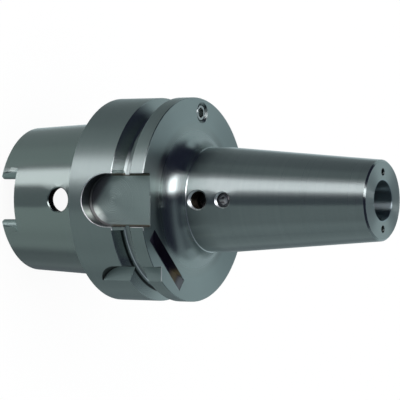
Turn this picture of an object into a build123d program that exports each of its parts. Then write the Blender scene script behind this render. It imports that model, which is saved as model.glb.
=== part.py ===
from build123d import *
import math
import os

# Shrink fit tool holder with a hollow taper shank and a 63 mm flange, for a 12 mm tool shank.
# Millimetres. The axis of rotation is Z and +Z runs towards the nose that grips the tool.
# The origin is the centre of the flange's contact face, the face that seats on the spindle,
# so the hollow shank fills z < 0 and the holder can stand on the shank's open end.
# The narrower of the two flange keyways faces -Y.
# Threads are plain cylinders at their pitch diameter, where a screw and its hole meet.

# Hollow taper shank
shank_length = 32.0
gauge_diameter = 48.01
gauge_depth = 6.3
taper_ratio = 9.98
shank_edge_chamfer = 0.7
relief_width = 1.5
relief_depth = 0.4
relief_gap = 0.5

# Hollow of the shank, where the spindle's clamping claws work
mouth_diameter = 37.0
mouth_depth = 8.0
mouth_chamfer = 0.8
claw_bore_diameter = 34.0
claw_shoulder_depth = 18.13
claw_shoulder_angle = 30.0
chamber_diameter = 41.5
chamber_floor = 10.0
chamber_corner_chamfer = 1.5

# Slots for the spindle's drive keys, open at the shank's end
drive_slot_width = 12.54
front_slot_depth = 6.0
back_slot_depth = 10.0
drive_slot_corner_radius = 1.0
drive_slot_edge_radius = 2.0

# Radial hole through both walls of the shank for the clamping key
key_hole_diameter = 7.5
key_hole_depth = 9.0
key_hole_chamfer = 0.3

# Flange with its gripper groove
flange_diameter = 63.0
flange_thickness = 26.0
flange_edge_chamfer = 0.2
groove_setback = 8.0
groove_depth = 4.0
groove_width = 6.76
groove_angle = 60.0
groove_corner_chamfer = 0.5
groove_edge_break = 0.2

# Keyways in the flange, milled in from the front face and closed by a round end
front_keyway_width = 16.0
back_keyway_width = 18.0
keyway_depth = 5.0
keyway_end = 4.7
keyway_floor_radius = 0.8
keyway_edge_chamfer = 0.2

# Orientation notch in one corner of the flange
notch_wall_inset = 11.5
notch_floor_inset = 11.8
notch_end = 4.0
notch_cutter_diameter = 16.0

# Balancing cut that a disc cutter left in the front face
balance_cut_angle = 47.5
balance_cut_gap = 0.35
balance_cut_width = 4.3
balance_cut_depth = 3.8
balance_cutter_diameter = 40.0

# Neck and nose; the neck is ground, a step below the fillet that meets the flange
projection_length = 90.0
neck_diameter = 32.0
neck_length = 6.95
neck_step = 0.25
neck_fillet_radius = 6.0
nose_diameter = 24.0
nose_chamfer = 0.5

# Tool bore and the stop thread behind it
bore_diameter = 12.0
bore_depth = 47.0
bore_chamfer = 0.15
stop_thread_diameter = 9.35

# Seat of the coolant tube in the floor of the hollow
tube_thread_diameter = 17.35
tube_thread_length = 10.0
tube_recess_step = 1.425
tube_recess_depth = 2.0
tube_runout_step = 1.075
tube_runout_width = 2.5

# Coolant jets beside the bore
jet_diameter = 2.2
jet_wall = 1.3

# Tapped holes and their socket set screws
thread_clearance = 0.05
screw_end_chamfer = 0.4
large_thread_diameter = 5.35
large_sink_diameter = 7.0
large_socket_width = 3.0
small_thread_diameter = 4.48
small_sink_diameter = 5.6
small_socket_width = 2.5
socket_depth = 2.2
tip_clearance = 0.05

lock_hole_setback = 7.0
lock_screw_length = 6.0

neck_hole_spacing = 8.6
neck_hole_depth = 7.1
neck_screw_length = 5.0
neck_screw_recess = 0.6

face_hole_inset = 4.3
face_hole_angle = 171.0
face_hole_depth = 5.0
face_sink_diameter = 6.6
face_screw_recess = 0.5

stop_screw_length = 16.0
stop_screw_recess = 1.5
stop_screw_socket_width = 5.0
stop_screw_socket_depth = 5.0
stop_screw_passage_diameter = 3.0

# Overrun of a cutter past the face that it leaves through, and the tolerance in picking edges
overrun = 1.0
near = 0.001


def shank_radius(z):
    """Outer radius of the taper at height z."""
    return gauge_diameter / 2 + (z + gauge_depth) / (2 * taper_ratio)


def facing(side, distance, height=0.0):
    """Plane facing +Y or -Y (side 1 or -1) at a distance from the axis, its local Y along +Z."""
    return Plane(origin=(0, side * distance, height), x_dir=(-side, 0, 0), z_dir=(0, side, 0))


flange_radius = flange_diameter / 2
neck_radius = neck_diameter / 2
nose_radius = nose_diameter / 2
bore_radius = bore_diameter / 2
fillet_foot = neck_radius + neck_step + neck_fillet_radius
fillet_top = flange_thickness + neck_fillet_radius
cone_start = fillet_top + neck_step + neck_length
cone_slope = (neck_radius - nose_radius) / (projection_length - cone_start)
bore_floor = projection_length - bore_depth
lock_hole_height = bore_floor - lock_hole_setback
neck_hole_height = lock_hole_height + neck_hole_spacing


def neck_radius_at(z):
    """Outer radius of the neck at height z, on its cylinder or its cone."""
    return min(neck_radius, nose_radius + (projection_length - z) * cone_slope)


# Holder body: the turned blank
relief_radius = shank_radius(-relief_width) - relief_depth
shank_tip = -shank_length
with BuildPart() as holder_body:
    with BuildSketch(Plane.XZ):
        with BuildLine():
            Polyline(
                (0, shank_tip),
                (shank_radius(shank_tip) - shank_edge_chamfer, shank_tip),
                (shank_radius(shank_tip + shank_edge_chamfer), shank_tip + shank_edge_chamfer),
                (shank_radius(-relief_width), -relief_width),
                (relief_radius, relief_depth - relief_width),
                (relief_radius, relief_depth),
                (shank_radius(0) + relief_gap - relief_depth, relief_depth),
                (shank_radius(0) + relief_gap, 0),
                (flange_radius - flange_edge_chamfer, 0),
                (flange_radius, flange_edge_chamfer),
                (flange_radius, flange_thickness - flange_edge_chamfer),
                (flange_radius - flange_edge_chamfer, flange_thickness),
                (fillet_foot, flange_thickness),
            )
            RadiusArc(
                (fillet_foot, flange_thickness),
                (neck_radius + neck_step, fillet_top),
                neck_fillet_radius,
            )
            Polyline(
                (neck_radius + neck_step, fillet_top),
                (neck_radius, fillet_top + neck_step),
                (neck_radius, cone_start),
                (nose_radius, projection_length),
                (0, projection_length),
                (0, shank_tip),
            )
        make_face()
    revolve(axis=Axis.Z)
    chamfer(holder_body.edges().filter_by(GeomType.CIRCLE).group_by(Axis.Z)[-1], nose_chamfer)

    # Hollow of the shank, tube seat, stop thread and tool bore, all on the axis
    mouth_radius = mouth_diameter / 2
    claw_radius = claw_bore_diameter / 2
    chamber_radius = chamber_diameter / 2
    tube_thread_radius = tube_thread_diameter / 2
    mouth_end = shank_tip + mouth_depth
    step_rise = mouth_radius - claw_radius
    shoulder_rise = (chamber_radius - claw_radius) * math.tan(math.radians(claw_shoulder_angle))
    thread_start = chamber_floor + tube_recess_depth
    thread_end = thread_start + tube_thread_length
    runout_end = thread_end + tube_runout_width
    with BuildSketch(Plane.XZ):
        with BuildLine():
            Polyline(
                (0, shank_tip),
                (mouth_radius + mouth_chamfer, shank_tip),
                (mouth_radius, shank_tip + mouth_chamfer),
                (mouth_radius, mouth_end),
                (claw_radius, mouth_end + step_rise),
                (claw_radius, -claw_shoulder_depth),
                (chamber_radius, shoulder_rise - claw_shoulder_depth),
                (chamber_radius, chamber_floor - chamber_corner_chamfer),
                (chamber_radius - chamber_corner_chamfer, chamber_floor),
                (tube_thread_radius + tube_recess_step, chamber_floor),
                (tube_thread_radius + tube_recess_step, thread_start),
                (tube_thread_radius, thread_start),
                (tube_thread_radius, thread_end),
                (tube_thread_radius + tube_runout_step, thread_end),
                (tube_thread_radius + tube_runout_step, runout_end),
                (stop_thread_diameter / 2, runout_end),
                (stop_thread_diameter / 2, bore_floor),
                (bore_radius, bore_floor),
                (bore_radius, projection_length - bore_chamfer),
                (bore_radius + bore_chamfer, projection_length),
                (0, projection_length),
                (0, shank_tip),
            )
        make_face()
    revolve(axis=Axis.Z, mode=Mode.SUBTRACT)

    # Keyways, with a rounded floor corner and a broken edge where they leave the flange
    keyway_floor = flange_radius - keyway_depth
    for side, width in ((-1, front_keyway_width), (1, back_keyway_width)):
        end_centre = keyway_end + width / 2
        with BuildSketch(facing(side, keyway_floor)):
            with Locations((0, end_centre)):
                Circle(width / 2)
                Rectangle(width, flange_thickness + overrun - end_centre, align=(Align.CENTER, Align.MIN))
        extrude(amount=keyway_depth + overrun, mode=Mode.SUBTRACT)
        floor_edges = holder_body.edges().filter_by(
            lambda e: abs(e.center().Y - side * keyway_floor) < near and e.center().Z < flange_thickness - near
        )
        fillet(floor_edges, keyway_floor_radius)
        front_edges = holder_body.edges().filter_by(
            lambda e: abs(e.center().Y - side * keyway_floor) < near and abs(e.center().Z - flange_thickness) < near
        )
        chamfer(front_edges, keyway_edge_chamfer)
        rim_edges = holder_body.edges().filter_by(
            lambda e: abs(math.hypot((e @ 0.5).X, (e @ 0.5).Y) - flange_radius) < near
            and side * (e @ 0.5).Y > 0
            and abs((e @ 0.5).X) < width / 2 + near
        )
        chamfer(rim_edges, keyway_edge_chamfer)

    # Orientation notch beside the front keyway
    cutter_radius = notch_cutter_diameter / 2
    with BuildSketch(facing(-1, flange_radius - notch_floor_inset)):
        with Locations((flange_radius - notch_wall_inset + cutter_radius, notch_end + cutter_radius)):
            Circle(cutter_radius)
            Rectangle(
                notch_cutter_diameter,
                flange_thickness + overrun - notch_end - cutter_radius,
                align=(Align.CENTER, Align.MIN),
            )
    extrude(amount=notch_floor_inset + overrun, mode=Mode.SUBTRACT)

    # Gripper groove, cut last so that it runs through keyways and notch
    flank_slope = math.tan(math.radians(groove_angle / 2))
    groove_centre = flange_thickness - groove_setback
    floor_radius = flange_radius - groove_depth
    lip = groove_width / 2
    floor_half = lip - groove_depth * flank_slope
    break_half = lip - groove_edge_break * flank_slope
    with BuildSketch(Plane.XZ) as groove_section:
        with BuildLine():
            Polyline(
                (floor_radius, groove_centre - floor_half),
                (flange_radius - groove_edge_break, groove_centre - break_half),
                (flange_radius + overrun, groove_centre - break_half - groove_edge_break - overrun),
                (flange_radius + overrun, groove_centre + break_half + groove_edge_break + overrun),
                (flange_radius - groove_edge_break, groove_centre + break_half),
                (floor_radius, groove_centre + floor_half),
                close=True,
            )
        make_face()
        chamfer(groove_section.vertices().group_by(Axis.X)[0], groove_corner_chamfer)
    revolve(axis=Axis.Z, mode=Mode.SUBTRACT)

    # Slots for the drive keys, their outer edges flared round by a form cutter
    for side, depth in ((-1, front_slot_depth), (1, back_slot_depth)):
        with BuildSketch(facing(side, claw_radius - overrun)) as slot_section:
            with Locations((0, shank_tip - overrun)):
                Rectangle(drive_slot_width, depth + overrun, align=(Align.CENTER, Align.MIN))
            fillet(slot_section.vertices().group_by(Axis.Z)[-1], drive_slot_corner_radius)
        extrude(amount=gauge_diameter / 2 - claw_radius + 2 * overrun, mode=Mode.SUBTRACT)

        outer_radius = shank_radius(shank_tip + depth / 2)
        flare_x = drive_slot_width / 2 + drive_slot_edge_radius
        flare_y = math.sqrt((outer_radius - drive_slot_edge_radius) ** 2 - flare_x**2)
        flare_end = Vector(flare_x, flare_y).normalized() * outer_radius
        flare_run = Vector(-flare_end.Y, flare_end.X).normalized() * overrun
        with BuildSketch(Plane.XY.offset(shank_tip)):
            with BuildLine():
                Line((0, side * flare_y), (drive_slot_width / 2, side * flare_y))
                RadiusArc(
                    (drive_slot_width / 2, side * flare_y),
                    (flare_end.X, side * flare_end.Y),
                    side * drive_slot_edge_radius,
                )
                Polyline(
                    (flare_end.X, side * flare_end.Y),
                    (flare_end.X - flare_run.X, side * (flare_end.Y - flare_run.Y)),
                    (flare_end.X, side * (outer_radius + overrun)),
                    (0, side * (outer_radius + overrun)),
                    (0, side * flare_y),
                )
            make_face()
            mirror(about=Plane.YZ)
        extrude(amount=depth, mode=Mode.SUBTRACT)

    # Radial hole for the clamping key
    with BuildSketch(Plane.XZ):
        with Locations((0, -key_hole_depth)):
            Circle(key_hole_diameter / 2)
    extrude(amount=gauge_diameter / 2 + overrun, both=True, mode=Mode.SUBTRACT)
    key_hole_rims = holder_body.edges().filter_by(
        lambda e: abs((e @ 0.5).Z + key_hole_depth) < key_hole_diameter / 2 + near
        and abs(math.hypot((e @ 0.5).X, (e @ 0.5).Y) - shank_radius((e @ 0.5).Z)) < near
    )
    chamfer(key_hole_rims, key_hole_chamfer)

    # Balancing cut in the front face
    turn = math.radians(balance_cut_angle)
    outward = Vector(math.sin(turn), -math.cos(turn), 0)
    along = Vector(math.cos(turn), math.sin(turn), 0)
    cut_floor = flange_thickness - balance_cut_depth
    cut_start = fillet_foot + balance_cut_gap
    with BuildSketch(Plane(origin=outward * cut_start, x_dir=along, z_dir=outward)):
        with Locations((0, cut_floor + balance_cutter_diameter / 2)):
            Circle(balance_cutter_diameter / 2)
    extrude(amount=balance_cut_width, mode=Mode.SUBTRACT)

    # Coolant jets from the nose face down to the run-out behind the coolant tube
    with BuildSketch(Plane.XY.offset(projection_length)):
        with PolarLocations(bore_radius + jet_wall + jet_diameter / 2, 2):
            Circle(jet_diameter / 2)
    extrude(amount=thread_end + tube_runout_width / 2 - projection_length, mode=Mode.SUBTRACT)

    # Tapped holes in the neck and in the front face
    with Locations(facing(-1, neck_radius_at(lock_hole_height), lock_hole_height)):
        CounterSinkHole(large_thread_diameter / 2, large_sink_diameter / 2, neck_radius_at(lock_hole_height), 90)
    with Locations(facing(-1, neck_radius_at(neck_hole_height), neck_hole_height)):
        CounterSinkHole(small_thread_diameter / 2, small_sink_diameter / 2, neck_hole_depth, 90)
    face_turn = math.radians(face_hole_angle)
    face_hole = Vector(math.cos(face_turn), math.sin(face_turn), 0) * (flange_radius - face_hole_inset)
    with Locations(Plane(origin=(face_hole.X, face_hole.Y, flange_thickness))):
        CounterSinkHole(large_thread_diameter / 2, face_sink_diameter / 2, face_hole_depth, 90)
holder_body.part.label = "holder_body"


def set_screw(head, diameter, length, socket, depth, passage=0.0):
    """Socket set screw whose driven end lies on the plane head and whose body runs down its -Z side."""
    with BuildPart() as screw:
        with BuildSketch(head):
            Circle(diameter / 2)
        extrude(amount=-length)
        chamfer(screw.edges().filter_by(GeomType.CIRCLE), screw_end_chamfer)
        with BuildSketch(head):
            RegularPolygon(socket / 2, 6, major_radius=False)
        extrude(amount=-depth, mode=Mode.SUBTRACT)
        if passage:
            with BuildSketch(head):
                Circle(passage / 2)
            extrude(amount=-length, mode=Mode.SUBTRACT)
    return screw


# Length stop screw on the axis behind the tool shank, bored for coolant
length_stop_screw = set_screw(
    Plane.XY.offset(bore_floor - stop_screw_recess),
    stop_thread_diameter - 2 * thread_clearance,
    stop_screw_length,
    stop_screw_socket_width,
    stop_screw_socket_depth,
    stop_screw_passage_diameter,
)
length_stop_screw.part.label = "length_stop_screw"

# Lock screw that bears on the side of the length stop screw
lock_tip = stop_thread_diameter / 2 - thread_clearance + tip_clearance
stop_lock_screw = set_screw(
    facing(-1, lock_tip + lock_screw_length, lock_hole_height),
    large_thread_diameter - 2 * thread_clearance,
    lock_screw_length,
    large_socket_width,
    socket_depth,
)
stop_lock_screw.part.label = "stop_lock_screw"

# Balance screw near the surface of the neck
neck_balance_screw = set_screw(
    facing(-1, neck_radius_at(neck_hole_height) - neck_screw_recess, neck_hole_height),
    small_thread_diameter - 2 * thread_clearance,
    neck_screw_length,
    small_socket_width,
    socket_depth,
)
neck_balance_screw.part.label = "neck_balance_screw"

# Balance screw in the flange's front face, seated on the floor of its hole
face_balance_screw = set_screw(
    Plane(origin=(face_hole.X, face_hole.Y, flange_thickness - face_screw_recess)),
    large_thread_diameter - 2 * thread_clearance,
    face_hole_depth - face_screw_recess - tip_clearance,
    large_socket_width,
    socket_depth,
)
face_balance_screw.part.label = "face_balance_screw"

os.makedirs("parts", exist_ok=True)
export_step(holder_body.part, "parts/holder_body.step")
export_step(length_stop_screw.part, "parts/length_stop_screw.step")
export_step(stop_lock_screw.part, "parts/stop_lock_screw.step")
export_step(neck_balance_screw.part, "parts/neck_balance_screw.step")
export_step(face_balance_screw.part, "parts/face_balance_screw.step")
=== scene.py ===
# %% [markdown]
# # A shrink fit tool holder, dressed for a product photograph
#
# The holder is one piece of turned, ground and milled steel with four set screws in it. To change
# a tool the nose is heated until its bore opens, the tool drops in, and the cooling nose grips it.
# Every solid comes from the CAD model, so this script makes what a camera sees: the finish that
# each machine tool left, the threads inside the open holes, the light and the view.

# %% Load the frame
import math
import bmesh
import bpy
from mathutils import Matrix, Vector


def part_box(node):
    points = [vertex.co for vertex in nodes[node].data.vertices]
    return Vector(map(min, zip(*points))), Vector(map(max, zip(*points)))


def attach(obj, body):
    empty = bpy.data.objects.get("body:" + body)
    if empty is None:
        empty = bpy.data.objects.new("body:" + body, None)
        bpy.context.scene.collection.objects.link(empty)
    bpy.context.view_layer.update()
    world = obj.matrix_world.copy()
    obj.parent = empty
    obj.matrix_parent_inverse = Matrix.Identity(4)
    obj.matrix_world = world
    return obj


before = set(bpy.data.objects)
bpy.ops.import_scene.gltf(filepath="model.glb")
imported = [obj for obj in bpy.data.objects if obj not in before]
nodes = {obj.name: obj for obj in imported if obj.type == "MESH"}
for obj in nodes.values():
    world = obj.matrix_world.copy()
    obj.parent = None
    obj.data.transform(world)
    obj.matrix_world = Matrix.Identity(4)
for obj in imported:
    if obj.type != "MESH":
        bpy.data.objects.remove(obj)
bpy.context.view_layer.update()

MM = 0.001
print("nodes:", sorted(nodes))

# %% [markdown]
# ## The sizes that the looks need
#
# The holder stands on its open shank and +Z runs up to the nose. What can be read from the frame is
# read from it, such as where the nose or a screw ends. The rest are sizes of the real holder, and
# each is named where it is first needed. All of them are millimetres, as on a drawing, and MM turns
# them into Blender's metres where a mesh, the camera or a lamp needs a place.

# %% Sizes that the frame gives
def box_in_mm(name):
    """Lowest and highest corner of a CAD node."""
    low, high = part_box(name)
    return low / MM, high / MM


body_low, body_high = box_in_mm("holder_body")
floor_height = body_low.z
nose_height = body_high.z
flange_radius = body_high.x
print("the nose is", round(nose_height - floor_height, 1), "mm above the floor")
print("the flange is", round(flange_radius * 2, 1), "mm across")

# %% [markdown]
# ## The camera
#
# The photograph looks down at the side of the holder with a long lens, and the picture is turned
# so that the axis lies across it. A camera is placed by three things: where it stands, the point
# that it looks at, and which way is up in the picture. Here up is -X, which turns the nose to the
# right.

# %% Camera
PICTURE_UP = Vector((-1, 0, 0))


def aim(obj, position, target, up):
    """Puts obj at position, looking at target, with up as near to its own +Y as it goes."""
    back = (Vector(position) - Vector(target)).normalized()
    right = Vector(up).cross(back).normalized()
    turned = Matrix((right, back.cross(right), back)).transposed().to_4x4()
    obj.matrix_world = Matrix.Translation(Vector(position)) @ turned


camera_data = bpy.data.cameras.new("camera")
camera_data.sensor_width = 36.0
camera_data.lens = 200.1
camera_data.clip_start = 0.01
camera_data.clip_end = 20.0
camera = bpy.data.objects.new("camera", camera_data)
bpy.context.scene.collection.objects.link(camera)
bpy.context.scene.camera = camera
stands_at = Vector((-5.93, -589.29, 375.07)) * MM
looks_at = Vector((0.25, 12.0, 20.6)) * MM
aim(camera, stands_at, looks_at, PICTURE_UP)
print("camera at", [round(v / MM) for v in camera.location], "mm, lens", camera_data.lens, "mm")

# %% [markdown]
# ## Writing shader maths as Python
#
# A procedural material is a formula that turns a place on the surface into a colour, a roughness
# or a bump. Wiring it by hand takes dozens of nodes. A small class that stands for one socket and
# knows + - * / lets the formula be written as it would be on paper, and adds the nodes for us.

# %% The class for shader maths
class Socket:
    """One value in a node tree. Operators on it add Math nodes."""

    def __init__(self, tree, out):
        self.tree = tree
        self.out = out

    def node(self, kind, inputs=(), output=0, **settings):
        """Adds a node of any kind: settings first, then values or links for its sockets."""
        made = self.tree.nodes.new(kind)
        for name, value in settings.items():
            setattr(made, name, value)
        pairs = inputs.items() if isinstance(inputs, dict) else enumerate(inputs)
        for key, value in pairs:
            if isinstance(value, Socket):
                self.tree.links.new(value.out, made.inputs[key])
            else:
                made.inputs[key].default_value = value
        return Socket(self.tree, made.outputs[output])

    def math(self, operation, *others):
        return self.node("ShaderNodeMath", [self, *others], operation=operation)

    def __add__(self, other):
        return self.math("ADD", other)

    __radd__ = __add__

    def __sub__(self, other):
        return self.math("SUBTRACT", other)

    def __rsub__(self, other):
        return self.node("ShaderNodeMath", [other, self], operation="SUBTRACT")

    def __mul__(self, other):
        return self.math("MULTIPLY", other)

    __rmul__ = __mul__

    def __truediv__(self, other):
        return self.math("DIVIDE", other)

    def __neg__(self):
        return self.math("MULTIPLY", -1.0)

    def __abs__(self):
        return self.math("ABSOLUTE")

    def root(self):
        return self.math("SQRT")

    def step_up(self, low, high):
        """0 below low, 1 above high, smooth between."""
        return self.node(
            "ShaderNodeMapRange",
            {"Value": self, "From Min": low, "From Max": high},
            interpolation_type="SMOOTHSTEP",
        )

    def between(self, low, high, soft):
        """1 from low to high, falling to 0 over soft on each side."""
        return self.step_up(low - soft, low + soft) * (1 - self.step_up(high - soft, high + soft))


# %% Starting a material
def new_material(name):
    """An empty material: the material, its Principled shader and a start for maths."""
    material = bpy.data.materials.new(name)
    material.use_nodes = True
    tree = material.node_tree
    return material, tree.nodes["Principled BSDF"], Socket(tree, None)


def object_place(start):
    """The place on the piece: as a vector in metres, and as x, y and z in millimetres."""
    place = start.node("ShaderNodeTexCoord", output="Object")
    return place, [place.node("ShaderNodeSeparateXYZ", [place], output=axis) / MM for axis in "XYZ"]


def distance(a, b):
    """Length of the vector (a, b)."""
    return (a * a + b * b).root()


def any_of(first, *others):
    """The union of masks."""
    for other in others:
        first = first.math("MAXIMUM", other)
    return first


# %% Mixing colours and feeding a shader
# A Mix node has one pair of sockets A and B for each kind of value, so the pair for colours is
# found by number.
MIX_FACTOR, MIX_A, MIX_B, MIX_RESULT = 0, 6, 7, 2


def mix(factor, first, second):
    """A colour from first to second. Math nodes would turn it grey, a Mix node doesn't."""
    a, b = [value if isinstance(value, Socket) else (*value, 1.0) for value in (first, second)]
    given = {MIX_FACTOR: factor, MIX_A: a, MIX_B: b}
    return factor.node("ShaderNodeMix", given, output=MIX_RESULT, data_type="RGBA")


def feed(shader, **sockets):
    """Links values to the shader's sockets, or sets plain numbers on them."""
    for name, value in sockets.items():
        socket = shader.inputs[name.replace("_", " ")]
        if isinstance(value, Socket):
            value.tree.links.new(value.out, socket)
        else:
            socket.default_value = value


# %% [markdown]
# ## One piece of steel, four finishes
#
# A lathe leaves fine grooves that run round the axis. They spread a reflection along the axis but
# not round it, which is why a turned bar shows long bright bands. The shader's Anisotropic value
# does that spreading. The grooves that the eye can still make out are noise that depends only on
# the height and on the distance from the axis, so they close on themselves all the way round.
#
# The neck, the nose and the front face are ground, so they are smoother than the flange. Keyways
# and notch are milled, and a milling cutter leaves circles round its own axis, so a second shader
# without a grain direction takes over there. The small holes are painted near black as shade, and
# no polishing reached their steel.
#
# The holder is one solid, so each finish is a mask: a value that is 1 on its surface and 0
# elsewhere, worked out from the place on the holder alone. A mask starts a tenth of a millimetre
# before the face that it is for, so that rounding in the mesh leaves no speckles on it.

# %% Sizes of the flange
# Heights are above the contact face, which is at 0. The cutter's radius is that of the round ends
# of keyway and notch, and the balancing cut's line is turned round the axis by cut_turn.
flange_front = 26.0
rim_inside = 31.25
groove_middle = 18.0
groove_reach = 3.5
lip_start = 3.2
cutter_radius = 8.0
milled_bottom = 3.8
keyway_floor = 26.5
keyway_centre = 12.7
keyway_reach = 9.05
notch_wall = 20.0
notch_floor = 19.7
notch_centre_x = 28.0
notch_centre_z = 12.0
cut_turn = math.radians(47.5)
cut_start = 22.6
cut_width = 4.3
cut_floor = 22.2
cut_reach = 12.0


# %% Masks of the flange
def cut_places(x, y):
    """Distances across and along the balancing cut, which is turned round the holder's axis."""
    across = x * math.sin(cut_turn) - y * math.cos(cut_turn)
    along = x * math.cos(cut_turn) + y * math.sin(cut_turn)
    return across, along


def flange_masks(x, y, z, radius):
    """Milled keyways and notch, the balancing cut, the gripper groove and its lips."""
    in_flange = z.between(milled_bottom, flange_front - 0.02, 0.05)
    under_rim = 1 - radius.step_up(flange_radius - 0.06, flange_radius - 0.03)
    milled = in_flange * under_rim
    behind_side = abs(y).step_up(keyway_floor - 0.12, keyway_floor - 0.06)
    between_walls = 1 - abs(x).step_up(keyway_reach - 0.03, keyway_reach + 0.03)
    beside = x.step_up(notch_wall - 0.1, notch_wall - 0.04)
    in_front = (-y).step_up(notch_floor - 0.1, notch_floor - 0.04)

    across, along = cut_places(x, y)
    cut = across.between(cut_start - 0.1, cut_start + cut_width + 0.1, 0.03)
    cut = cut * (1 - abs(along).step_up(cut_reach, cut_reach + 0.1))
    cut = cut * z.between(cut_floor - 0.2, flange_front - 0.1, 0.03)

    on_rim = radius.step_up(rim_inside - 0.05, rim_inside + 0.05)
    from_middle = abs(z - groove_middle)
    in_groove = z.between(groove_middle - groove_reach, groove_middle + groove_reach, 0.05)
    return {
        "keyway": behind_side * between_walls * milled,
        "notch": beside * in_front * milled,
        "cut": cut,
        "groove": in_groove * (1 - on_rim),
        "lip": from_middle.between(lip_start, groove_reach, 0.03) * on_rim,
    }


# %% Sizes of shank, neck, nose and bore
# The shank is measured at its gauge depth, and tapers by 1 in taper_ratio of its diameter.
shank_top = -1.5
gauge_radius = 24.005
gauge_depth = 6.3
taper_ratio = 9.98
hollow_radius = 21.0
hollow_top = 23.0
drive_slot_end = -21.85
key_hole_height = -9.0
key_hole_radius = 3.75
fillet_top = 32.0
neck_radius = 16.0
neck_top = 39.2
nose_radius = 12.0
bore_radius = 6.0
bore_floor = 43.0


# %% Masks of the holes
def hole_masks(x, z, radius):
    """Small dark holes, their countersinks, the tool bore, the shank's hollow and its slots."""
    slope = (neck_radius - nose_radius) / (nose_height - neck_top)
    cone = nose_radius + (nose_height - z) * slope
    under_neck = cone.math("MINIMUM", neck_radius) - radius
    under_shank = gauge_radius + (z + gauge_depth) / (2 * taper_ratio) - radius
    on_neck = z.between(fillet_top + 0.35, nose_height - 0.65, 0.05)
    in_neck = on_neck * under_neck.step_up(0.14, 0.18)
    from_key_hole = distance(x, z - key_hole_height)
    near_key_hole = 1 - from_key_hole.step_up(key_hole_radius + 0.05, key_hole_radius + 0.15)
    key_hole = near_key_hole * under_shank.step_up(0.3, 0.4)
    near_bore = 1 - radius.step_up(bore_radius + 0.2, bore_radius + 0.3)
    bore = z.step_up(bore_floor, bore_floor + 0.1) * near_bore
    below_slot_end = 1 - z.step_up(drive_slot_end - 0.05, drive_slot_end + 0.05)
    near_axis = 1 - radius.step_up(hollow_radius, hollow_radius + 0.1)
    return {
        "hole": any_of(in_neck, key_hole) * (1 - bore),
        "sink": in_neck * (1 - under_neck.step_up(0.82, 0.88)) * (1 - bore),
        "bore": bore,
        "hollow": near_axis * (1 - z.step_up(hollow_top - 1, hollow_top + 1)),
        "slot": below_slot_end * under_shank.step_up(0.10, 0.14),
    }


# %% Masks of the turned and ground surfaces
def turned_masks(z, radius, mask):
    """Ground, polished and satin steel, and the edges that are polished by handling."""
    ground = z.step_up(flange_front - 0.12, flange_front - 0.04)
    front_corner = flange_front + flange_radius
    front_rim = (z + radius).step_up(front_corner - 0.24, front_corner - 0.2) * (1 - ground)
    nose_rim = z.step_up(nose_height - 0.6, nose_height - 0.5)
    nose_rim = nose_rim * radius.step_up(nose_radius - 0.6, nose_radius - 0.5)
    edge = any_of(nose_rim, mask["lip"], front_rim).math("MINIMUM", 1.0)

    on_flange = z.between(-0.6, flange_front - 0.3, 0.04) * (1 - edge)
    rim_satin = on_flange * 0.30 * radius.step_up(rim_inside, rim_inside + 0.1)
    front = ground * (1 - z.step_up(flange_front + 0.1, flange_front + 0.3))
    front_satin = front * radius.step_up(22.6, 24.5) * 0.5
    return {
        "ground": ground,
        "polished": z.between(flange_front + 0.1, fillet_top + 0.1, 0.1),
        "shank": 1 - z.step_up(shank_top - 0.1, shank_top + 0.1),
        "foot": z.between(fillet_top + 0.02, fillet_top + 0.23, 0.02),
        "edge": edge,
        "satin": rim_satin + front_satin,
    }


# %% Turned steel
def turned_steel(start, shader, x, z, radius, cloud, mask):
    """Sets up the shader of the lathe's and the grinder's surfaces, with their grooves and painted
    highlights and shade.
    """
    rings = start.node("ShaderNodeCombineXYZ", {"X": radius, "Y": z})
    fine = start.node(
        "ShaderNodeTexNoise", {"Vector": rings, "Scale": 3.0, "Detail": 3.0, "Roughness": 0.7}
    )
    wide = start.node("ShaderNodeTexNoise", {"Vector": rings, "Scale": 0.7, "Detail": 2.0})
    streaky = 1 - 0.85 * any_of(mask["shank"], mask["groove"])
    streaks = (wide - 0.5) * 0.6 * streaky + (cloud - 0.5) * 0.4 + 0.5
    colour = mix(streaks, (0.27, 0.32, 0.305), (0.335, 0.385, 0.37))
    colour = mix(mask["shank"] * 0.5, colour, (0.215, 0.265, 0.24))
    colour = mix(mask["bore"], colour, (0.34, 0.42, 0.435))
    # A highlight is painted on the neck's step, except towards -X.
    painted_foot_highlight = mask["foot"] * (1 - mask["bore"]) * x.step_up(-9.0, -7.0)
    colour = mix(painted_foot_highlight, colour, (0.60, 0.65, 0.64))

    # On the groove's low side, a dark line is painted shade and a bright line is a painted
    # highlight.
    low_side = mask["groove"] * x.step_up(1.0, 4.0)
    colour = mix(low_side * z.between(16.1, 16.5, 0.08), colour, (0.03, 0.035, 0.035))
    colour = mix(low_side * z.between(16.8, 17.1, 0.08), colour, (0.75, 0.80, 0.78))

    smoother = 0.14 * mask["shank"] + 0.07 * mask["ground"] + 0.07 * mask["polished"]
    smoother = smoother + 0.12 * mask["groove"] + 0.14 * mask["edge"]
    grooves = {"Height": fine * streaky, "Strength": 0.3, "Distance": 0.007 * MM}
    feed(
        shader,
        Base_Color=colour,
        Roughness=0.36 - smoother + (fine - 0.5) * 0.10 * streaky,
        Metallic=1.0,
        Normal=start.node("ShaderNodeBump", grooves),
        Anisotropic=1.0,
        Anisotropic_Rotation=0.25,
    )
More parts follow.
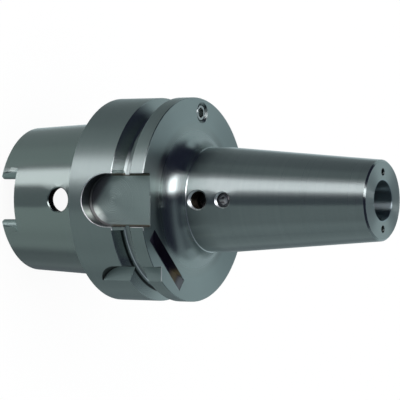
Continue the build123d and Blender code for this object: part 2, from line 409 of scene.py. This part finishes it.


# %% [markdown]
# ## What a milling cutter leaves, and painted light and shade
#
# An end mill that stood on the keyway's centre cut its round end, so the floor has faint rings
# there. On that floor a highlight is painted on one side and shade on the other, and its wall and
# corners are painted dark as shade. The notch's round end and wall are painted dark as shade too.
# The balancing cut is painted nearly black as shade, with a lighter brown band towards one end and
# a painted highlight at that end. Each of these is one more mix of colours, laid over the one
# before as a painter would.

# %% Colours of the keyways
def keyway_shade(shade, x, y, z, from_cutter, keyway):
    """Painted highlights and painted shade on floor, corner, wall and straight sides, over the
    colour that is there.
    """
    from_centre = z - keyway_centre
    round_end = 1 - z.step_up(11.5, 13.5)
    wall = (-y).step_up(keyway_floor + 0.75, keyway_floor + 0.95)
    end_wall = keyway * wall * round_end
    at_corner = from_cutter.step_up(cutter_radius - 0.9, cutter_radius - 0.6)
    corner = keyway * (1 - wall) * at_corner * round_end
    side = keyway * abs(x).between(7.3, 8.1, 0.1) * (1 - round_end)
    towards_light = x * 0.66 - from_centre * 0.75
    across_light = x * 0.75 + from_centre * 0.66
    towards_dark = -x * 0.57 - from_centre * 0.82
    lit = towards_light.step_up(4.4, 6.2) * across_light.between(-2.8, 2.6, 1.5)
    corner_shade = mix(x.step_up(0.0, 3.0), (0.05, 0.055, 0.055), (0.15, 0.155, 0.15))

    # A patch of painted shade and a patch of painted highlight lie on the floor's round end.
    shade = mix(keyway * towards_dark.step_up(3.3, 5.4), shade, (0.12, 0.13, 0.14))
    shade = mix(keyway * lit, shade, (0.90, 1.0, 0.95))
    # The corner is painted dark as shade, darkest towards -X.
    shade = mix(corner, shade, corner_shade)
    # The end wall is painted dark as shade, with a painted highlight on part of it.
    shade = mix(end_wall, shade, (0.085, 0.095, 0.10))
    shade = mix(end_wall * x.between(2.4, 5.2, 1.5), shade, (0.92, 0.94, 0.88))
    # The corners along the straight sides are painted dark as shade.
    return mix(side, shade, (0.10, 0.095, 0.075))


# %% Milled steel
def milled_steel(start, x, y, z, radius, cloud, mask):
    """A second shader for what a cutter made, with the colours of each place."""
    keyway, notch, cut = mask["keyway"], mask["notch"], mask["cut"]
    _, along = cut_places(x, y)
    from_cutter = distance(x, z - keyway_centre)
    circles = start.node("ShaderNodeCombineXYZ", {"X": from_cutter, "Y": y})
    swirl = start.node("ShaderNodeTexNoise", {"Vector": circles, "Scale": 4.0, "Detail": 2.0})

    shade = mix(cloud, (0.275, 0.35, 0.33), (0.335, 0.42, 0.395))
    on_front = z.step_up(flange_front - 0.04, flange_front - 0.01)
    shade = mix(on_front, shade, (0.40, 0.49, 0.47))
    shade = keyway_shade(shade, x, y, z, from_cutter, keyway)

    # The notch's round end and its wall are painted dark as shade.
    from_notch = distance(x - notch_centre_x, z - notch_centre_z)
    notch_end = from_notch.step_up(cutter_radius - 0.4, cutter_radius - 0.2)
    notch_end = notch_end * (1 - z.step_up(11.0, 12.0))
    notch_side = 1 - x.step_up(notch_wall + 0.2, notch_wall + 0.3)
    shade = mix(notch * any_of(notch_end, notch_side), shade, (0.09, 0.10, 0.095))
    # A highlight is painted along the keyway's rim and along the notch's edge at the front face.
    painted_rim_highlight = keyway * radius.step_up(rim_inside - 0.01, rim_inside + 0.05)
    painted_notch_edge_highlight = notch * z.step_up(25.68, 25.74) * (1 - x.step_up(24.0, 25.0))
    shade = mix(any_of(painted_rim_highlight, painted_notch_edge_highlight), shade, (0.95, 0.97, 0.96))

    shade = mix(mask["hollow"], shade, (0.22, 0.245, 0.235))
    # The small holes are painted near black as shade.
    shade = mix(mask["hole"], shade, (0.045, 0.04, 0.04))
    shade = mix(mask["sink"], shade, (0.68, 0.74, 0.72))
    # The balancing cut is painted near black as shade, with a lighter brown band towards one end
    # and a painted highlight at that end.
    shade = mix(cut, shade, (0.10, 0.09, 0.14))
    shade = mix(cut * along.between(7.0, 9.8, 1.3), shade, (0.38, 0.34, 0.23))
    shade = mix(cut * along.step_up(9.2, 10.6), shade, (0.34, 0.38, 0.39))

    rings = {"Height": swirl * keyway, "Strength": 1.0, "Distance": 0.16 * MM}
    return start.node(
        "ShaderNodeBsdfPrincipled",
        {
            "Base Color": shade,
            "Roughness": 0.46 - mask["sink"] * 0.06 + (cloud - 0.5) * 0.2,
            "Metallic": 1.0,
            "Normal": start.node("ShaderNodeBump", rings),
        },
        output="BSDF",
    )


# %% Steel of the holder body
def holder_steel():
    material, shader, start = new_material("holder_steel")
    tree = material.node_tree
    place, (x, y, z) = object_place(start)
    radius = distance(x, y)
    cloud = start.node("ShaderNodeTexNoise", {"Vector": place, "Scale": 60.0, "Detail": 3.0})
    mask = flange_masks(x, y, z, radius)
    mask.update(hole_masks(x, z, radius))
    mask.update(turned_masks(z, radius, mask))

    turned_steel(start, shader, x, z, radius, cloud, mask)
    milled = milled_steel(start, x, y, z, radius, cloud, mask)
    turned = Socket(tree, shader.outputs["BSDF"])
    not_turned = ("keyway", "notch", "slot", "hollow", "cut", "hole", "satin")
    by_cutter = any_of(*(mask[name] for name in not_turned))
    both = start.node("ShaderNodeMixShader", [by_cutter, turned, milled])
    tree.links.new(both.out, tree.nodes["Material Output"].inputs["Surface"])
    print("masks:", ", ".join(sorted(mask)))
    return material


steel = holder_steel()
nodes["holder_body"].data.materials.clear()
nodes["holder_body"].data.materials.append(steel)
print("the steel's formula has", len(steel.node_tree.nodes), "nodes")


# %% [markdown]
# ## Screws, bright and blackened
#
# Set screws are quenched and blackened. The black is a thin oxide, so they stay metal but dark.
# The balance screw in the flange was trimmed when the holder was balanced, so it is bare. The one
# in the neck is black round its edge, with a highlight painted on its socket: a mask on the
# distance from the screw's own axis changes the colour there.

# %% Steel of the set screws
def screw_steel(name, dark, light, rough, glint_height=None):
    """Steel of a set screw; glint_height is where a screw across the neck has a highlight painted
    on its socket.
    """
    material, shader, start = new_material(name)
    place, (x, y, z) = object_place(start)
    grain = start.node("ShaderNodeTexNoise", {"Vector": place, "Scale": 900.0, "Detail": 3.0})
    colour = mix(grain, dark, light)
    roughness = rough + grain * 0.2
    if glint_height is not None:
        # A highlight is painted round the middle of the socket, which is also made rougher.
        painted_glint = 1 - distance(x, z - glint_height).step_up(1.15, 1.35)
        colour = mix(painted_glint, colour, (0.95, 1.0, 0.98))
        roughness = roughness + painted_glint * 0.28
    scale = {"Height": grain, "Strength": 0.3, "Distance": 0.02 * MM}
    bump = start.node("ShaderNodeBump", scale)
    feed(shader, Base_Color=colour, Roughness=roughness, Metallic=1.0, Normal=bump)
    return material


BLACK = (0.10, 0.10, 0.105)
WORN_BLACK = (0.20, 0.20, 0.205)
blackened = screw_steel("blackened_steel", BLACK, WORN_BLACK, 0.16)
bare = screw_steel("bare_screw_steel", (0.36, 0.39, 0.38), (0.50, 0.53, 0.52), 0.14)
screw_low, screw_high = box_in_mm("neck_balance_screw")
screw_height = (screw_low.z + screw_high.z) / 2
painted_glint = screw_steel("screw_steel_with_painted_glint", BLACK, WORN_BLACK, 0.14, screw_height)
finishes = {
    "length_stop_screw": blackened,
    "stop_lock_screw": blackened,
    "neck_balance_screw": painted_glint,
    "face_balance_screw": bare,
}
for name, finish in finishes.items():
    nodes[name].data.materials.clear()
    nodes[name].data.materials.append(finish)
    print(name, "is", finish.name)

# %% [markdown]
# ## Threads
#
# The CAD model has its tapped holes at pitch diameter, halfway up the thread. What is missing is
# the crest that stands into the hole: a ridge on a helix. That is a job for Geometry Nodes, since
# a ridge is a profile swept along a path. One tree makes any of them from five named sizes: the
# path is a Spiral, the profile is a trapezoid, and Curve to Mesh joins the two. The Spiral node
# turns left by itself, so Reverse makes it the right-handed thread that a screw needs. The result
# is baked to a plain mesh, which a file for other programs can hold.

# %% The tree that sweeps a thread
# Shares of the pitch and of the depth: the ridge is narrow at its crest and wide at its root, and
# its root stands a little way in the wall, so that no gap shows behind it.
CREST_WIDTH = 0.22
ROOT_WIDTH = 0.62
IN_WALL = 0.3
THREAD_SIZES = {"Hole Radius": 0.003, "Pitch": 0.001, "Turns": 4.0, "Depth": 0.0003, "Steps": 48}


def thread_tree():
    tree = bpy.data.node_groups.new("internal_thread", "GeometryNodeTree")
    add_socket = tree.interface.new_socket
    for name, value in THREAD_SIZES.items():
        kind = "NodeSocketInt" if name == "Steps" else "NodeSocketFloat"
        add_socket(name, in_out="INPUT", socket_type=kind).default_value = value
    add_socket("Material", in_out="INPUT", socket_type="NodeSocketMaterial")
    add_socket("Geometry", in_out="OUTPUT", socket_type="NodeSocketGeometry")
    given = tree.nodes.new("NodeGroupInput")
    size = {s.name: Socket(tree, s) for s in given.outputs if s.name}

    middle = size["Hole Radius"] - size["Depth"] * ((1 - IN_WALL) / 2)
    path = middle.node(
        "GeometryNodeCurveSpiral",
        {
            "Resolution": size["Steps"],
            "Rotations": size["Turns"],
            "Start Radius": middle,
            "End Radius": middle,
            "Height": size["Turns"] * size["Pitch"],
            "Reverse": True,
        },
    )
    upright = path.node("GeometryNodeSetCurveNormal", {"Curve": path}, mode="Z_UP")
    profile = path.node(
        "GeometryNodeCurvePrimitiveQuadrilateral",
        {
            "Height": size["Depth"] * (1 + IN_WALL),
            "Bottom Width": size["Pitch"] * ROOT_WIDTH,
            "Top Width": size["Pitch"] * CREST_WIDTH,
            "Offset": 0.0,
        },
        mode="TRAPEZOID",
    )
    quarter_turn = (0, 0, math.radians(90))
    turned = path.node("GeometryNodeTransform", {"Geometry": profile, "Rotation": quarter_turn})
    ridge = path.node(
        "GeometryNodeCurveToMesh", {"Curve": upright, "Profile Curve": turned, "Fill Caps": True}
    )
    real = path.node("GeometryNodeRealizeInstances", {"Geometry": ridge})
    dressed = path.node(
        "GeometryNodeSetMaterial", {"Geometry": real, "Material": size["Material"]}
    )
    result = tree.nodes.new("NodeGroupOutput")
    tree.links.new(dressed.out, result.inputs["Geometry"])
    return tree


threads = thread_tree()
print("the thread tree has", len(threads.nodes), "nodes")


# %% Baking a tree to a mesh
def bake(name, tree, values, place):
    """Runs the tree on an empty object and keeps the result as a plain mesh in its place."""
    maker = bpy.data.objects.new(name + "_maker", bpy.data.meshes.new(name + "_maker"))
    bpy.context.scene.collection.objects.link(maker)
    modifier = maker.modifiers.new("nodes", "NODES")
    modifier.node_group = tree
    for item in tree.interface.items_tree:
        if item.in_out == "INPUT" and item.name in values:
            modifier[item.identifier] = values[item.name]
    graph = bpy.context.evaluated_depsgraph_get()
    mesh = bpy.data.meshes.new_from_object(maker.evaluated_get(graph))
    bpy.data.objects.remove(maker)
    mesh.name = name
    mesh.transform(place)
    piece = bpy.data.objects.new(name, mesh)
    bpy.context.scene.collection.objects.link(piece)
    return piece


# %% Threads of the open holes
# A thread ends clear of the screw that sits in the same hole, so the two don't touch.
PITCH = 1.0
DEPTH = 0.215
CLEAR = 0.4
lock_start = -14.85
seat_start = 12.4
lock_low, lock_high = box_in_mm("stop_lock_screw")
_, stop_high = box_in_mm("length_stop_screw")
lock_turns = (lock_low.y - lock_start - CLEAR) / PITCH
lock_place = Vector((0, lock_start, (lock_low.z + lock_high.z) / 2)) * MM
into_neck = Matrix.Translation(lock_place) @ Matrix.Rotation(math.radians(-90), 4, "X")
into_seat = Matrix.Translation((0, 0, seat_start * MM))
above_stop = Matrix.Translation((0, 0, (stop_high.z + CLEAR) * MM))
# The threads are painted nearly black, as shade inside their holes.
thread_steel_painted_dark = screw_steel("thread_steel", (0.018, 0.015, 0.013), (0.05, 0.04, 0.03), 0.24)

# Each thread: radius of its hole in millimetres, turns, and where it starts.
wanted = {
    "lock_hole_thread": (2.675, lock_turns, into_neck),
    "tube_seat_thread": (8.675, 9.2, into_seat),
    "stop_thread": (4.675, 0.7, above_stop),
}
for name, (hole_radius, turns, place) in wanted.items():
    values = {
        "Hole Radius": hole_radius * MM,
        "Turns": turns,
        "Pitch": PITCH * MM,
        "Depth": DEPTH * MM,
        "Material": thread_steel_painted_dark,
    }
    piece = bake(name, threads, values, place)
    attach(piece, "root")
    print(name, "has", len(piece.data.polygons), "faces and", round(turns, 1), "turns")

# %% [markdown]
# ## The studio
#
# Metal shows what is around it, so lighting it means building what it mirrors. A far sphere that
# only reflections can see stands for the studio: a tall soft strip to one side of the camera with
# a key lamp above it, a grey bench and grey walls, and near black where nothing was lit. The pale
# floor is almost white to the camera, and a small share of it takes the lamp's light, so that the
# holder's shadow shows on it.

# %% Floor
FLOOR_RADIUS = 3.0
WHITE_SHARE = 0.93


def pale_floor():
    material, shader, start = new_material("pale_floor")
    tree = material.node_tree
    feed(shader, Base_Color=(0.86, 0.87, 0.88, 1.0), Roughness=0.9)
    camera_ray = start.node("ShaderNodeLightPath", output="Is Camera Ray")
    glossy_ray = start.node("ShaderNodeLightPath", output="Is Glossy Ray")
    clear_ray = start.node("ShaderNodeLightPath", output="Is Transmission Ray")
    seen = (camera_ray + glossy_ray + clear_ray).math("MINIMUM", 1.0)
    white = start.node("ShaderNodeEmission", {"Color": (1.0, 1.0, 1.0, 1.0), "Strength": 1.0})
    lit = Socket(tree, shader.outputs["BSDF"])
    both = start.node("ShaderNodeMixShader", [seen * WHITE_SHARE, lit, white])
    tree.links.new(both.out, tree.nodes["Material Output"].inputs["Surface"])
    return material


def keep(shape, name, material):
    """Turns a bmesh into an object with one material, linked to the scene."""
    mesh = bpy.data.meshes.new(name)
    shape.to_mesh(mesh)
    shape.free()
    mesh.materials.append(material)
    obj = bpy.data.objects.new(name, mesh)
    bpy.context.scene.collection.objects.link(obj)
    return obj


circle = bmesh.new()
bmesh.ops.create_circle(circle, cap_ends=True, segments=96, radius=FLOOR_RADIUS)
bmesh.ops.translate(circle, verts=circle.verts, vec=(0, 0, floor_height * MM))
floor = keep(circle, "floor", pale_floor())
floor.visible_glossy = False
print("the floor lies at", round(floor_height, 1), "mm")

# %% The studio that only the metal sees
# Each panel: azimuths and how softly they end, elevations and how softly they end, radiance and
# tint. Azimuth is measured from the camera's side, positive towards +X, all in degrees. The back
# wall crosses azimuth 180, so it has one reach to both sides instead of two azimuths.
STUDIO_RADIUS = 4.0
GREENISH = (0.88, 1.0, 0.97)
COOL = (0.86, 1.0, 1.03)
WHITE = (1.04, 1.0, 1.05)
PANELS = {
    "ground, camera's side": (-190, 65, 12, -95, -50, 6, 0.80, GREENISH),
    "ground, other side": (65, 190, 12, -95, -50, 6, 0.36, GREENISH),
    "bench, +X side": (13, 88, 1.5, -50, -18, 3, 0.45, GREENISH),
    "bench, +X side, far": (88, 128, 8, -34, -18, 3, 0.45, GREENISH),
    "bench, +X side, far and low": (88, 128, 8, -50, -34, 3, 0.10, GREENISH),
    "bench, +X side, dark end": (128, 190, 8, -50, -18, 3, 0.16, GREENISH),
    "bench, -X side": (-152, -54, 3, -50, -18, 3, 0.38, GREENISH),
    "bench, beside the strip": (-84, -54, 6, -35, -15, 3, 0.14, GREENISH),
    "bench, behind": (-190, -152, 5, -50, -18, 3, 1.00, COOL),
    "gap before the camera": (-18, 13, 2, -50, -18, 3, 0.12, COOL),
    "strip, low": (-48.5, -22.5, 5, -50, -19, 3, 2.20, WHITE),
    "strip, middle": (-52, -17, 9, -19, 22, 4, 1.05, WHITE),
    "strip, top": (-57, -7, 10, 22, 60, 5, 0.70, WHITE),
    "key lamp": (-50, -17, 6, 27, 66, 4, 4.8, WHITE),
    "wall, +X side": (0, 142, 12, 21, 43, 4, 0.30, COOL),
    "wall, low +X side": (12, 140, 8, -19, 0, 3, 0.20, COOL),
    "wall, far +X side": (58, 140, 8, -19, 21, 4, 0.13, COOL),
    "corner of the walls, +X side": (112, 141, 7, -3, 21, 5, 0.35, COOL),
    "corner of the walls, -X side": (-141, -120, 6, 1, 26, 4, 0.58, COOL),
}
BACK_WALL = (39, 6, -19, 42, 5, 0.62, COOL)


def studio_material():
    material, shader, start = new_material("studio")
    tree = material.node_tree
    tree.nodes.remove(shader)
    _, (x, y, z) = object_place(start)
    degrees = math.degrees(1)
    azimuth = x.math("ARCTAN2", -y) * degrees
    elevation = z.math("ARCTAN2", distance(x, y)) * degrees

    def add_panel(total, mask, radiance, tint):
        levels = {axis: mask * (radiance * part) for axis, part in zip("XYZ", tint)}
        level = start.node("ShaderNodeCombineXYZ", levels)
        return start.node("ShaderNodeVectorMath", [total, level], operation="ADD")

    total = start.node("ShaderNodeCombineXYZ", {"X": 0.028, "Y": 0.030, "Z": 0.055})
    for left, right, soft, low, high, fade, radiance, tint in PANELS.values():
        mask = azimuth.between(left, right, soft) * elevation.between(low, high, fade)
        total = add_panel(total, mask, radiance, tint)
    reach, soft, low, high, fade, radiance, tint = BACK_WALL
    behind = 180 - abs(azimuth)
    mask = (1 - behind.step_up(reach - soft, reach + soft)) * elevation.between(low, high, fade)
    total = add_panel(total, mask, radiance, tint)
    glow = start.node("ShaderNodeEmission", {"Color": total, "Strength": 1.0})
    tree.links.new(glow.out, tree.nodes["Material Output"].inputs["Surface"])
    return material


ball = bmesh.new()
bmesh.ops.create_uvsphere(ball, u_segments=72, v_segments=36, radius=STUDIO_RADIUS)
studio = keep(ball, "studio_surroundings", studio_material())
studio.visible_camera = False
studio.visible_diffuse = False
studio.visible_shadow = False
studio.visible_transmission = False
print("the studio has", len(PANELS) + 1, "panels")


# %% Lamp
def soft_box(name, azimuth, elevation, width, height, radiance, distance_to=1.0):
    """A lamp of that many degrees across as the holder sees it, azimuth as for the panels."""
    a, e = math.radians(azimuth), math.radians(elevation)
    middle = Vector((0, 0, 30 * MM))
    way = Vector((math.sin(a) * math.cos(e), -math.cos(a) * math.cos(e), math.sin(e)))
    lamp = bpy.data.lights.new(name, "AREA")
    lamp.shape = "RECTANGLE"
    lamp.size = 2 * distance_to * math.tan(math.radians(width / 2))
    lamp.size_y = 2 * distance_to * math.tan(math.radians(height / 2))
    lamp.energy = radiance * math.pi * lamp.size * lamp.size_y
    obj = bpy.data.objects.new(name, lamp)
    bpy.context.scene.collection.objects.link(obj)
    aim(obj, middle + way * distance_to, middle, (0, 0, 1))
    obj.visible_camera = False
    obj.visible_glossy = False
    print(name, "gives", round(lamp.energy, 1), "W")


soft_box("key_box", azimuth=-35, elevation=50, width=60, height=60, radiance=1.2)

# %% World and view
world = bpy.data.worlds.new("studio")
bpy.context.scene.world = world
world.use_nodes = True
world.node_tree.nodes["Background"].inputs["Color"].default_value = (1.0, 1.0, 1.0, 1.0)
bpy.context.scene.view_settings.view_transform = "Standard"
print("the world is white, and colours are shown as they are")
